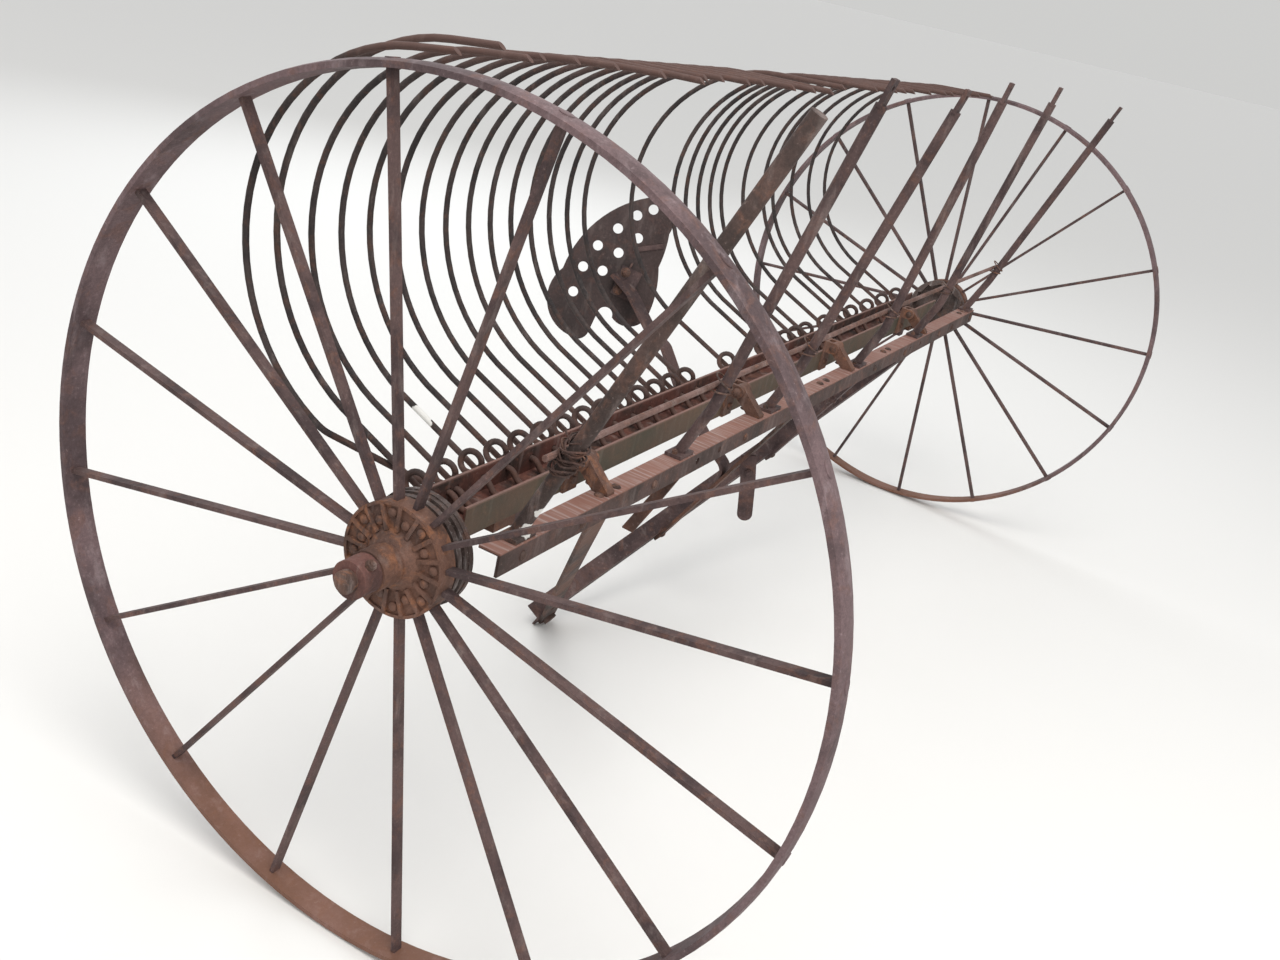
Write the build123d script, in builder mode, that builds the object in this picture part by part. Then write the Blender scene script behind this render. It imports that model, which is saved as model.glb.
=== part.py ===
from build123d import *
import os
from math import acos, atan2, cos, degrees, hypot, pi, radians, sin

os.makedirs("parts", exist_ok=True)

# A horse-drawn dump rake that lies turned over on its back. X runs along the axle,
# the teeth curl up on the +Y side, and the ground is Z = 0.
# All sizes are in millimetres.

# Wheels
wheel_radius = 710
track = 2978
rim_width = 46
rim_edge = 9
rim_crown = 4
spoke_count = 16
spoke_width = 18
spoke_thickness = 8
spoke_root_radius = 50
spoke_end_gap = 0.1
hub_face_offset = 3
hub_flange_radius = 92
hub_flange_thickness = 30
hub_barrel_radius = 33
hub_barrel_length = 46
hub_cone_radius = 50
hub_cone_length = 14
hub_lip_height = 4
hub_lip_width = 5
rib_width = 7
rib_height = 5
rib_overlap = 2
drum_radius = 92
drum_lip_radius = 94
drum_length = 42
drum_lip_width = 10
drum_wall = 8
drum_tooth_count = 12
drum_tooth_height = 8
drum_tooth_share = 0.82
drum_cavity_depth = 32
drum_steps = [
    # distance from the hub, depth under the drum's radius
    (0, 10),
    (8, 10),
    (8, 2),
    (18, 2),
    (18, 6),
    (24, 6),
    (24, 0),
]

# Axle
axle_radius = 17
axle_end = 1603
axle_inner_ends = (-1174, 954)
bore_fit = 0.08
end_gap = 0.4
collar_radius = 30
collar_length = 38
end_block_side = 44
end_block_length = 34
saddle_length = 60
saddle_width = 68
saddle_drop = 8
saddle_places = (-1250, 1030)

# Tooth channel
channel_start = -1395
channel_stop = 1170
channel_floor_height = 25
channel_height = 52
channel_front = -50
channel_back = 35
channel_wall = 5

# Teeth: the wire hooks into the channel, winds its coil behind it and leaves in a bow
slot_count = 35
slot_pitch = 73
first_strand_x = -1350.5
wire = 11
wire_fit = 0.3
wire_corner = 5.9
seat_gap = 0.3
coil_turns = 3
tooth_hole_height = 55
coil_radius = 16.5
coil_centre_y = 58
coil_centre_height = 66
bow_start_angle = -69
bow_centre_y = 105
bow_centre_height = 403
bow_radius = 311
tip_height = 723
crank_slot_x = -1330.5
crank_strand_x = -1423.5
crank_y = 92
crank_height = 52
hook_start_y = -25
hook_bend_y = 4
hook_knee_y = 20
teeth = [
    # slot, shift of the bow along x, y and z, tip y
    (0, -30, -21, 17, 20),
    (1, 0, 0, 0, 40),
    (2, 0, 0, 0, 66),
    (3, 0, 0, 0, 49),
    (4, 0, 0, 0, 20),
    (5, 0, 0, 0, -26),
    (6, 0, 0, 0, -61),
    (7, 0, 0, 0, -31),
    (8, 0, 0, 0, -28),
    (9, 0, 0, 0, -46),
    (10, 0, 0, 0, -44),
    (11, 0, 0, 0, -77),
    (12, 0, 0, 0, -90),
    (13, 0, 0, 0, -100),
    (16, 0, 0, 0, -45),
    (19, 0, 0, 0, -45),
    (20, 0, 0, 0, -45),
    (21, 0, 0, 0, -45),
    (22, 0, 0, 0, -45),
    (23, 0, 0, 0, -45),
    (25, 0, 0, 0, -45),
    (27, 0, 0, 0, -45),
    (28, 0, 0, 0, -45),
    (30, 0, 0, 0, -45),
    (32, 0, 0, 0, -45),
    (34, 0, 0, 0, -45),
]
crank_tip_y = 60

# Front angle bar
bar_start = -1425
bar_end = 1355
bar_back = -100
bar_side = 40
bar_wall = 5
bar_height = 47

# Hinges between the head and the frame
pivot_y = -75
pivot_height = 90
pin_radius = 6
pin_fit = 0.08
eye_radius = 14
eye_length = 24
ear_thickness = 10
lug_plate = 6
hinge_places = [-1090, -440, 150, 800]

# Hound frame: its bars lie in one sloping plane from under the bar to the ground
hound_top_y = -106
hound_top_height = 10
apex_x = -360
apex_y = 330
hound_width = 50
hound_thickness = 8
hound_angle_wall = 6
near_hound_x = -1080
near_tab_width = 65
far_hound_x = 1250
far_hound_drop = 30
brace_x = -30
brace_foot_x = 20
brace_width = 40
strut_x = 456
strut_foot_x = 440
strut_width = 40
lap = 36
apex_rise = 34
draft_hole_rise = 90
draft_hole_radius = 9
tab_thickness = 8
tab_gap = 0.5
bolt_corner = 18
bolt_head = 9
strap_foot = 6
shaft_places = [-700, 700]
shaft_hole_spacing = 100
shaft_hole_radius = 7

# Cleaner rods
rod_bend_y = -165
rod_bend_height = 160
rod_foot_y = -118
rods = [
    # name, x, tip_y, tip_height, radius, length of the flattened end
    ("cleaner_rod_1", -1355, -423, 761, 12.5, 0),
    ("cleaner_rod_2", -803, -321, 801, 11, 50),
    ("cleaner_rod_3", -365, -329, 794, 11, 50),
    ("cleaner_rod_4", 219, -278, 806, 11, 50),
    ("cleaner_rod_5", 730, -291, 809, 11, 50),
    ("cleaner_rod_6", 1314, -365, 782, 11, 50),
]
rod_bend_radius = 90
rod_foot_length = 56
rod_foot_thickness = 7
rod_flat_width = 26
rod_flat_thickness = 8
rod_flat_overlap = 5
rod_hole_rise = 30
rod_hole_radius = 5

# Tie rod behind the cleaner rods
tie_radius = 5.5
tie_height = 205
tie_gap = 0.3
tie_overhang = 40

# Seat spring and seat pan
spring_x = 10
spring_width = 50
spring_thickness = 8
spring_foot = 400
spring_bend = 335
spring_radius = 30
spring_points = [
    # y, height
    (157, -210),
    (262, -106),
    (325, -20),
    (377, 7),
    (456, 86),
    (512, 119),
]
cleat_place = (-15, 60)
cleat_length = 80
cleat_width = 56
cleat_thickness = 12
seat_centre = (12, 539, 126)
seat_long = (0.306, -0.101, 0.947)
seat_side = (0.406, -0.886, -0.226)
seat_depth = 460
seat_thickness = 4
seat_curve = 300
seat_hole_radius = 13
seat_start = (210, 18)
seat_outline = [
    # end of the edge, point that its arc passes
    ((-50, -108), None),
    ((-203, -20), (-165, -98)),
    ((-172, 24), (-198, 12)),
    ((-110, 24), None),
    ((-112, 64), (-93, 44)),
    ((-64, 150), (-117, 112)),
    ((60, 120), None),
    ((150, 108), None),
    ((210, 18), (226, 78)),
]
seat_holes = [
    # along, across
    (188, 43),
    (156, 11),
    (104, 38),
    (104, -20),
    (48, 8),
    (42, -49),
    (-12, -10),
    (-24, -61),
    (-94, -57),
]

axle_height = wheel_radius
floor_z = axle_height + channel_floor_height
channel_top_z = floor_z + channel_height


def finish(part, name):
    """Label a finished piece and write it."""
    part.label = name
    export_step(part, "parts/" + name + ".step")


def wheel_parts(side_name, side, phase):
    """Rim, spokes, hub and ratchet drum of one wheel; side is -1 or 1."""
    middle = side * track / 2
    face = middle + side * hub_face_offset
    back = face - side * hub_flange_thickness
    rim_inner = wheel_radius - rim_edge - rim_crown

    with BuildPart() as rim:
        with BuildSketch(Plane.XZ):
            with BuildLine():
                low = axle_height + rim_inner
                high = axle_height + wheel_radius - rim_crown
                left = middle - rim_width / 2
                right = middle + rim_width / 2
                Polyline((left, high), (left, low), (right, low), (right, high))
                ThreePointArc((left, high), (middle, axle_height + wheel_radius), (right, high))
            make_face()
        revolve(axis=Axis((0, 0, axle_height), (1, 0, 0)))
    finish(rim.part, "rim_" + side_name)

    with BuildPart() as spokes:
        for number in range(spoke_count):
            angle = phase + number * 360 / spoke_count
            outward = (0, sin(radians(angle)), cos(radians(angle)))
            across = (0, cos(radians(angle)), -sin(radians(angle)))
            plane = Plane(origin=(0, 0, axle_height), x_dir=outward, z_dir=across)
            lie = plane.y_dir.X
            with BuildSketch(plane.offset(-spoke_thickness / 2)):
                root = (face - side * hub_flange_thickness / 2) * lie
                tip = middle * lie
                half = spoke_width / 2
                with BuildLine():
                    Polyline(
                        (spoke_root_radius, root - half),
                        (rim_inner - spoke_end_gap, tip - half),
                        (rim_inner - spoke_end_gap, tip + half),
                        (spoke_root_radius, root + half),
                        close=True,
                    )
                make_face()
            extrude(amount=spoke_thickness)

    with BuildPart() as hub:
        with BuildSketch(Plane.XZ):
            with BuildLine():
                bore = axle_height + axle_radius + bore_fit
                cone_end = face + side * hub_cone_length
                nose = cone_end + side * hub_barrel_length
                lip = face + side * hub_lip_height
                Polyline(
                    (back, bore),
                    (back, axle_height + hub_flange_radius),
                    (lip, axle_height + hub_flange_radius),
                    (lip, axle_height + hub_flange_radius - hub_lip_width),
                    (face, axle_height + hub_flange_radius - hub_lip_width),
                    (face, axle_height + hub_cone_radius),
                    (cone_end, axle_height + hub_barrel_radius),
                    (nose, axle_height + hub_barrel_radius),
                    (nose, bore),
                    close=True,
                )
            make_face()
        revolve(axis=Axis((0, 0, axle_height), (1, 0, 0)))
        for number in range(spoke_count):
            angle = phase + (number + 0.5) * 360 / spoke_count
            outward = (0, sin(radians(angle)), cos(radians(angle)))
            rib_plane = Plane(origin=(face, 0, axle_height), x_dir=outward, z_dir=(side, 0, 0))
            rib_reach = hub_flange_radius - hub_lip_width - hub_cone_radius + 2 * rib_overlap
            with BuildSketch(rib_plane):
                with Locations((hub_cone_radius - rib_overlap + rib_reach / 2, 0)):
                    Rectangle(rib_reach, rib_width)
            extrude(amount=rib_height)
        add(spokes.part, mode=Mode.SUBTRACT)
    finish(hub.part, "hub_" + side_name)
    finish(spokes.part, "spokes_" + side_name)

    mouth = back - side * drum_length
    with BuildPart() as drum:
        with BuildSketch(Plane.XZ):
            with BuildLine():
                bore = axle_height + axle_radius + bore_fit
                outer = axle_height + drum_radius
                lip = axle_height + drum_lip_radius
                steps = [(back - side * distance, outer - depth) for distance, depth in drum_steps]
                Polyline(
                    (back, bore),
                    *steps,
                    (mouth + side * drum_lip_width, outer),
                    (mouth + side * drum_lip_width, lip),
                    (mouth, lip),
                    (mouth, bore),
                    close=True,
                )
            make_face()
        revolve(axis=Axis((0, 0, axle_height), (1, 0, 0)))
        with BuildSketch(Plane(origin=(mouth, 0, axle_height), x_dir=(0, 1, 0), z_dir=(side, 0, 0))):
            root = drum_radius - drum_wall
            crest = root - drum_tooth_height
            step = 2 * pi / drum_tooth_count
            points = []
            for number in range(drum_tooth_count):
                points.append((crest * cos(number * step), crest * sin(number * step)))
                late = (number + drum_tooth_share) * step
                points.append((root * cos(late), root * sin(late)))
            with BuildLine():
                Polyline(*points, close=True)
            make_face()
        extrude(amount=drum_cavity_depth, mode=Mode.SUBTRACT)
    finish(drum.part, "drum_" + side_name)
    return nose


nose_left = wheel_parts("left", -1, 10.2)
nose_right = wheel_parts("right", 1, 27.1)


def axle_parts(side_name, side, nose):
    """Stub axle with its end block, outer collar and saddle on one side of the rake."""
    inner = axle_inner_ends[(side + 1) // 2]
    with BuildPart() as axle:
        with BuildSketch(Plane(origin=(inner, 0, axle_height), x_dir=(0, 1, 0), z_dir=(side, 0, 0))):
            Circle(axle_radius)
        extrude(amount=axle_end - side * inner)
        with BuildSketch(Plane(origin=(inner, 0, axle_height), x_dir=(0, 1, 0), z_dir=(side, 0, 0))):
            Rectangle(end_block_side, end_block_side)
        extrude(amount=end_block_length)
    finish(axle.part, "axle_" + side_name)

    start = nose + side * end_gap
    with BuildPart() as collar:
        with BuildSketch(Plane(origin=(start, 0, axle_height), x_dir=(0, 1, 0), z_dir=(side, 0, 0))):
            Circle(collar_radius)
            Circle(axle_radius, mode=Mode.SUBTRACT)
        extrude(amount=collar_length)
    finish(collar.part, "collar_" + side_name)

    with BuildPart() as saddle:
        with BuildSketch(Plane.YZ.offset(saddle_places[(side + 1) // 2] - saddle_length / 2)):
            with Locations((0, axle_height + (channel_floor_height - saddle_drop) / 2)):
                Rectangle(saddle_width, channel_floor_height + saddle_drop)
            with Locations((0, axle_height)):
                Circle(axle_radius, mode=Mode.SUBTRACT)
        extrude(amount=saddle_length)
    finish(saddle.part, "saddle_" + side_name)


axle_parts("left", -1, nose_left)
axle_parts("right", 1, nose_right)


def strand_x(slot):
    """Plane of the tooth that hangs in a slot of the channel."""
    return first_strand_x + slot * slot_pitch


coil_shift = coil_turns * wire
hole_places = [strand_x(slot) - coil_shift for slot in range(slot_count)] + [crank_slot_x]

with BuildPart() as channel:
    with BuildSketch(Plane.YZ.offset(channel_start)):
        with BuildLine():
            Polyline(
                (channel_front, channel_top_z),
                (channel_front, floor_z),
                (channel_back, floor_z),
                (channel_back, channel_top_z),
                (channel_back - channel_wall, channel_top_z),
                (channel_back - channel_wall, floor_z + channel_wall),
                (channel_front + channel_wall, floor_z + channel_wall),
                (channel_front + channel_wall, channel_top_z),
                close=True,
            )
        make_face()
    extrude(amount=channel_stop - channel_start)
    with BuildSketch(Plane.XZ.offset(-channel_back)):
        for place in hole_places:
            with Locations((place, axle_height + tooth_hole_height)):
                Rectangle(2 * (wire_corner + wire_fit), 2 * (wire_corner + wire_fit))
    extrude(amount=2 * channel_wall, both=True, mode=Mode.SUBTRACT)
finish(channel.part, "tooth_channel")


hole_z = axle_height + tooth_hole_height
hook_z = floor_z + channel_wall + wire_corner * cos(radians(30)) + seat_gap
coil_z = axle_height + coil_centre_height


def tooth_part(hook_x, strand, back, up, tip_y, coiled):
    """One spring tooth: hook in the channel, coil behind it, bow and straight tip."""
    centre = (bow_centre_y + back, axle_height + bow_centre_height + up)
    tip = (tip_y, axle_height + tip_height + up)
    reach = hypot(tip[0] - centre[0], tip[1] - centre[1])
    end_angle = degrees(atan2(tip[1] - centre[1], tip[0] - centre[0]) - acos(bow_radius / reach))

    def on_bow(angle):
        return (strand, centre[0] + bow_radius * cos(radians(angle)), centre[1] + bow_radius * sin(radians(angle)))

    def across_bow(angle):
        ahead = (0, -sin(radians(angle)), cos(radians(angle)))
        return Plane(origin=on_bow(angle), x_dir=(1, 0, 0), z_dir=ahead)

    with BuildPart() as tooth:
        with BuildLine() as hook:
            hook_points = [(hook_x, hook_start_y, hook_z), (hook_x, hook_bend_y, hook_z), (hook_x, hook_knee_y, hole_z)]
            if coiled:
                hook_points += [(hook_x, channel_back, hole_z), (hook_x, coil_centre_y, coil_z - coil_radius)]
            else:
                hook_points += [(hook_x, crank_y, axle_height + crank_height), on_bow(bow_start_angle)]
            Polyline(*hook_points)
        with BuildSketch(Plane(origin=hook.line @ 0, x_dir=(1, 0, 0), z_dir=hook.line % 0)):
            RegularPolygon(wire_corner, 6)
        sweep(path=hook.line, transition=Transition.RIGHT)
        if coiled:
            coil_bottom = (hook_x + coil_shift, coil_centre_y, coil_z - coil_radius)
            with BuildLine() as shank:
                Line(coil_bottom, on_bow(bow_start_angle))
            with BuildSketch(Plane(origin=coil_bottom, x_dir=(1, 0, 0), z_dir=shank.line % 0)):
                RegularPolygon(wire_corner, 6)
            sweep(path=shank.line)
            with BuildSketch(Plane.YZ.offset(hook_x - wire / 2)):
                with Locations((coil_centre_y, coil_z)):
                    Circle(coil_radius + wire / 2)
                    Circle(coil_radius - wire / 2, mode=Mode.SUBTRACT)
            extrude(amount=coil_shift + wire)
        with BuildSketch(across_bow(bow_start_angle)):
            RegularPolygon(wire_corner, 6)
        revolve(axis=Axis((strand, centre[0], centre[1]), (1, 0, 0)), revolution_arc=end_angle - bow_start_angle)
        with BuildSketch(across_bow(end_angle)):
            RegularPolygon(wire_corner, 6)
        extrude(amount=(reach**2 - bow_radius**2) ** 0.5)
    return tooth.part


tooth_solids = [tooth_part(crank_slot_x, crank_strand_x, 0, 0, crank_tip_y, False)]
for slot, aside, back, up, tip_y in teeth:
    hook_x = strand_x(slot) - coil_shift
    tooth_solids.append(tooth_part(hook_x, strand_x(slot) + aside, back, up, tip_y, True))
finish(Compound(children=tooth_solids), "teeth")

bar_top = axle_height + bar_height
bar_front = bar_back - bar_side
bar_below = bar_top - bar_wall

with BuildPart() as bar:
    with BuildSketch(Plane.YZ.offset(bar_start)):
        with BuildLine():
            Polyline(
                (bar_back, bar_top),
                (bar_front, bar_top),
                (bar_front, bar_top - bar_side),
                (bar_front + bar_wall, bar_top - bar_side),
                (bar_front + bar_wall, bar_below),
                (bar_back, bar_below),
                close=True,
            )
        make_face()
    extrude(amount=bar_end - bar_start)
    with BuildSketch(Plane.XZ.offset(-bar_front - bar_wall / 2)):
        for middle in shaft_places:
            with Locations((middle, bar_top - bar_side / 2)):
                with GridLocations(shaft_hole_spacing, 0, 2, 1):
                    Circle(shaft_hole_radius)
    extrude(amount=bar_wall, both=True, mode=Mode.SUBTRACT)
finish(bar.part, "front_bar")

# Hinges
pivot_z = axle_height + pivot_height
ear_inner = eye_length / 2 + seat_gap
lug_width = 2 * (ear_inner + ear_thickness)


def hinge_lug(place):
    """Plate on the channel with two ears and the pin through them."""
    with BuildPart() as lug:
        with BuildSketch(Plane.XZ.offset(-channel_front)):
            with Locations((place, (floor_z + pivot_z + eye_radius) / 2)):
                Rectangle(lug_width, pivot_z + eye_radius - floor_z)
        extrude(amount=lug_plate)
        for start in (place - ear_inner - ear_thickness, place + ear_inner):
            with BuildSketch(Plane.YZ.offset(start)):
                with Locations((pivot_y, pivot_z)):
                    Circle(eye_radius)
                with Locations(((pivot_y + channel_front) / 2, pivot_z)):
                    Rectangle(channel_front - pivot_y, 2 * eye_radius)
            extrude(amount=ear_thickness)
        with BuildSketch(Plane.YZ.offset(place - lug_width / 2)):
            with Locations((pivot_y, pivot_z)):
                Circle(pin_radius)
        extrude(amount=lug_width)
    return lug.part


def hinge_strap(place):
    """Strap that stands on the front bar and turns on the pin."""
    with BuildPart() as strap:
        with BuildSketch(Plane.YZ.offset(place - eye_length / 2)):
            with Locations((pivot_y, pivot_z)):
                Circle(eye_radius)
            with Locations(((bar_front + bar_back) / 2, bar_top + strap_foot / 2)):
                Rectangle(bar_side - 2 * bar_wall, strap_foot)
            make_hull()
            with Locations((pivot_y, pivot_z)):
                Circle(pin_radius + pin_fit, mode=Mode.SUBTRACT)
        extrude(amount=eye_length)
    return strap.part


finish(Compound(children=[hinge_lug(place) for place in hinge_places]), "hinge_lugs")
finish(Compound(children=[hinge_strap(place) for place in hinge_places]), "hinge_straps")

# The hound plane: its x runs along the bar and its y down the slope to the ground.
hound_top_z = axle_height + hound_top_height
slope_run = hypot(apex_y - hound_top_y, hound_top_z)
slope_sin = hound_top_z / slope_run
slope_cos = (apex_y - hound_top_y) / slope_run
hound_plane = Plane(origin=(0, hound_top_y, hound_top_z), x_dir=(1, 0, 0), z_dir=(0, slope_sin, slope_cos))
apex = (apex_x, slope_run - apex_rise)
tab_down = (bar_below - hound_top_z) / slope_sin
top_cut = -tab_down + tab_thickness / 2 / slope_sin


def strip(start, end, width, extend):
    """Corners of a flat bar in the hound plane: its top is cut level, its foot square."""
    run = (end[0] - start[0], end[1] - start[1])
    length = hypot(run[0], run[1])
    ahead = (run[0] / length, run[1] / length)
    level = width / 2 / abs(ahead[1])
    side = (ahead[1] * width / 2, -ahead[0] * width / 2)
    foot = (end[0] + ahead[0] * extend, end[1] + ahead[1] * extend)
    return [
        (start[0] - level, start[1]),
        (start[0] + level, start[1]),
        (foot[0] + side[0], foot[1] + side[1]),
        (foot[0] - side[0], foot[1] - side[1]),
    ]


def along(start, end, depth):
    """Point at the given depth down the slope on the line from start to end."""
    share = (depth - start[1]) / (end[1] - start[1])
    return (start[0] + share * (end[0] - start[0]), depth)


def top_tab(place, width):
    """Corners in plan of the folded top of a hound bar, under the front bar."""
    with Locations(((place, (bar_front + bar_wall + bar_back) / 2 + tab_gap))):
        Rectangle(width, bar_side - bar_wall - 2 * tab_gap)


near_top = (near_hound_x, top_cut)
with BuildPart() as near_hound:
    with BuildSketch(hound_plane.offset(-hound_thickness)):
        with BuildLine():
            Polyline(*strip(near_top, apex, hound_width, lap), close=True)
        make_face()
    extrude(amount=hound_thickness)
    with BuildSketch(hound_plane.offset(-hound_thickness)):
        draft = along(near_top, apex, apex[1] - draft_hole_rise)
        with Locations(draft):
            Circle(draft_hole_radius)
    extrude(amount=hound_thickness, mode=Mode.SUBTRACT)
    with BuildSketch(Plane.XY.offset(bar_below - tab_thickness)):
        top_tab(near_hound_x, near_tab_width)
    extrude(amount=tab_thickness)
    split(bisect_by=Plane.XY, keep=Keep.TOP)
finish(near_hound.part, "near_hound")

far_top = (far_hound_x, far_hound_drop)
far_line = strip(far_top, apex, hound_width, lap)
with BuildPart() as far_hound:
    with BuildSketch(hound_plane):
        with BuildLine():
            Polyline(*far_line, close=True)
        make_face()
        hanger_height = far_hound_drop - top_cut + hound_width / 2
        with Locations((far_hound_x, top_cut + hanger_height / 2)):
            Rectangle(hound_width, hanger_height)
    extrude(amount=hound_angle_wall)
    with BuildSketch(hound_plane):
        ahead = (apex[0] - far_top[0], apex[1] - far_top[1])
        length = hypot(ahead[0], ahead[1])
        inset = (hound_width - hound_angle_wall) / 2
        shift = (ahead[1] / length * inset, -ahead[0] / length * inset)
        edge_start = along(far_top, apex, far_hound_drop + 2 * hound_width)
        edge_start = (edge_start[0] - shift[0], edge_start[1] - shift[1])
        edge_end = (apex[0] - shift[0], apex[1] - shift[1])
        with BuildLine():
            Polyline(*strip(edge_start, edge_end, hound_angle_wall, lap), close=True)
        make_face()
    extrude(amount=hound_width - hound_angle_wall)
    with BuildSketch(Plane.XY.offset(bar_below - tab_thickness)):
        top_tab(far_hound_x, hound_width)
    extrude(amount=tab_thickness)
    split(bisect_by=Plane.XY, keep=Keep.TOP)
finish(far_hound.part, "far_hound")

with BuildPart() as apex_bolt:
    with BuildSketch(hound_plane.offset(-hound_thickness - bolt_head)):
        with Locations(apex):
            RegularPolygon(bolt_corner, 6)
    extrude(amount=bolt_head)
    with BuildSketch(hound_plane.offset(hound_angle_wall)):
        with Locations(apex):
            RegularPolygon(bolt_corner, 6)
    extrude(amount=bolt_head)
finish(apex_bolt.part, "apex_bolt")


def cross_bar(name, top_x, foot_x, width):
    """Flat bar in the hound plane from under the front bar down onto the far hound."""
    share = (foot_x - apex[0]) / (far_top[0] - apex[0])
    foot = (foot_x, apex[1] + share * (far_top[1] - apex[1]))
    with BuildPart() as flat:
        with BuildSketch(hound_plane.offset(-hound_thickness)):
            with BuildLine():
                Polyline(*strip((top_x, top_cut), foot, width, lap / 2), close=True)
            make_face()
        extrude(amount=hound_thickness)
        with BuildSketch(Plane.XY.offset(bar_below - tab_thickness)):
            top_tab(top_x, width)
        extrude(amount=tab_thickness)
    finish(flat.part, name)


cross_bar("centre_brace", brace_x, brace_foot_x, brace_width)
cross_bar("long_strut", strut_x, strut_foot_x, strut_width)


tie_points = []
for name, x, tip_y, rod_height, radius, flat_length in rods:
    run_top = rod_height - flat_length
    with BuildPart() as rod:
        with BuildSketch(Plane.XY.offset(bar_top)):
            with Locations((x, (bar_front + bar_back) / 2)):
                Rectangle(rod_foot_length, bar_side - bar_wall)
        extrude(amount=rod_foot_thickness)
        with BuildLine(Plane.YZ.offset(x)) as run:
            FilletPolyline(
                (rod_foot_y, bar_top + rod_foot_thickness / 2),
                (rod_bend_y, axle_height + rod_bend_height),
                (tip_y, axle_height + run_top),
                radius=rod_bend_radius,
            )
        with BuildSketch(Plane(origin=run.line @ 0, x_dir=(1, 0, 0), z_dir=run.line % 0)):
            Circle(radius)
        sweep(path=run.line)
        split(bisect_by=Plane.XY.offset(bar_top), keep=Keep.TOP)
        end = run.line @ 1
        lean = run.line % 1
        if flat_length:
            with BuildSketch(Plane(origin=end - lean * rod_flat_overlap, x_dir=(1, 0, 0), z_dir=lean)):
                Rectangle(rod_flat_width, rod_flat_thickness)
            extrude(amount=flat_length)
            through = Vector(0, -lean.Z, lean.Y)
            with BuildSketch(Plane(origin=end + lean * rod_hole_rise, x_dir=(1, 0, 0), z_dir=through)):
                Circle(rod_hole_radius)
            extrude(amount=rod_flat_thickness, both=True, mode=Mode.SUBTRACT)
    finish(rod.part, name)
    share = (tie_height - rod_bend_height) / (run_top - rod_bend_height)
    crossing_y = rod_bend_y + share * (tip_y - rod_bend_y)
    tie_points.append((x, crossing_y + (radius + tie_radius + tie_gap) / lean.Z, axle_height + tie_height))

with BuildPart() as tie_rod:
    first = Vector(*tie_points[0])
    last = Vector(*tie_points[-1])
    inward = (Vector(*tie_points[1]) - first).normalized() * tie_overhang
    outward = (last - Vector(*tie_points[-2])).normalized() * tie_overhang
    with BuildLine() as tie_line:
        Polyline(first - inward, *tie_points, last + outward)
    with BuildSketch(Plane(origin=tie_line.line @ 0, x_dir=(0, 0, 1), z_dir=tie_line.line % 0)):
        RegularPolygon(tie_radius, 8)
    sweep(path=tie_line.line, transition=Transition.RIGHT)
finish(tie_rod.part, "tie_rod")


def on_slope(x, depth, lift):
    """Point in space at a depth down the hound plane and a lift off it."""
    return hound_plane.from_local_coords((x, depth, lift))


long_dir = Vector(*seat_long).normalized()
side_dir = Vector(*seat_side) - long_dir * Vector(*seat_side).dot(long_dir)
seat_origin = Vector(seat_centre[0], seat_centre[1], axle_height + seat_centre[2])
seat_plane = Plane(origin=seat_origin, x_dir=long_dir, z_dir=long_dir.cross(side_dir))
seat_end = Plane(origin=seat_origin - long_dir * seat_depth, x_dir=side_dir, z_dir=long_dir)

# Seat spring: it lies on the centre brace, bends back and rises behind the teeth to a cleat
# that follows the curve of the pan.
foot_low = on_slope(spring_x, spring_foot, spring_thickness / 2 + seat_gap)
foot_high = on_slope(spring_x, spring_bend, spring_thickness / 2 + seat_gap)
with BuildPart() as spring:
    with BuildSketch(seat_plane.offset(-seat_depth)):
        with Locations(cleat_place):
            Rectangle(cleat_length, cleat_width)
    extrude(amount=2 * seat_depth)
    with BuildSketch(seat_end):
        with Locations((0, seat_curve)):
            Circle(seat_curve + seat_gap + cleat_thickness)
            Rectangle(4 * seat_curve, 2 * seat_curve, align=(Align.CENTER, Align.MIN), mode=Mode.SUBTRACT)
    extrude(amount=2 * seat_depth, mode=Mode.INTERSECT)
    with BuildLine(Plane.YZ.offset(spring_x)) as spring_line:
        points = [(foot_low.Y, foot_low.Z), (foot_high.Y, foot_high.Z)]
        points += [(y, axle_height + height) for y, height in spring_points]
        FilletPolyline(*points, radius=spring_radius)
    with BuildSketch(Plane(origin=spring_line.line @ 0, x_dir=(1, 0, 0), z_dir=spring_line.line % 0)):
        Rectangle(spring_width, spring_thickness)
    sweep(path=spring_line.line)
    with BuildSketch(seat_end):
        with Locations((0, seat_curve)):
            Circle(seat_curve + seat_gap)
    extrude(amount=2 * seat_depth, mode=Mode.SUBTRACT)
finish(spring.part, "seat_spring")

# Seat pan: a shell curved across its width, with two front lobes and round holes.
with BuildPart() as pan:
    with BuildSketch(seat_plane.offset(-seat_depth)):
        with BuildLine():
            corner = seat_start
            for edge_end, via in seat_outline:
                if via:
                    ThreePointArc(corner, via, edge_end)
                else:
                    Line(corner, edge_end)
                corner = edge_end
        make_face()
        for hole in seat_holes:
            with Locations(hole):
                Circle(seat_hole_radius, mode=Mode.SUBTRACT)
    extrude(amount=2 * seat_depth)
    with BuildSketch(seat_end):
        with Locations((0, seat_curve)):
            Circle(seat_curve)
            Circle(seat_curve - seat_thickness, mode=Mode.SUBTRACT)
            Rectangle(4 * seat_curve, 2 * seat_curve, align=(Align.CENTER, Align.MIN), mode=Mode.SUBTRACT)
    extrude(amount=2 * seat_depth, mode=Mode.INTERSECT)
finish(pan.part, "seat_pan")
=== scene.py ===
import random
from math import acos, asin, atan2, cos, hypot, pi, radians, sin

import bpy
from mathutils import Matrix, Vector


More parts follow.
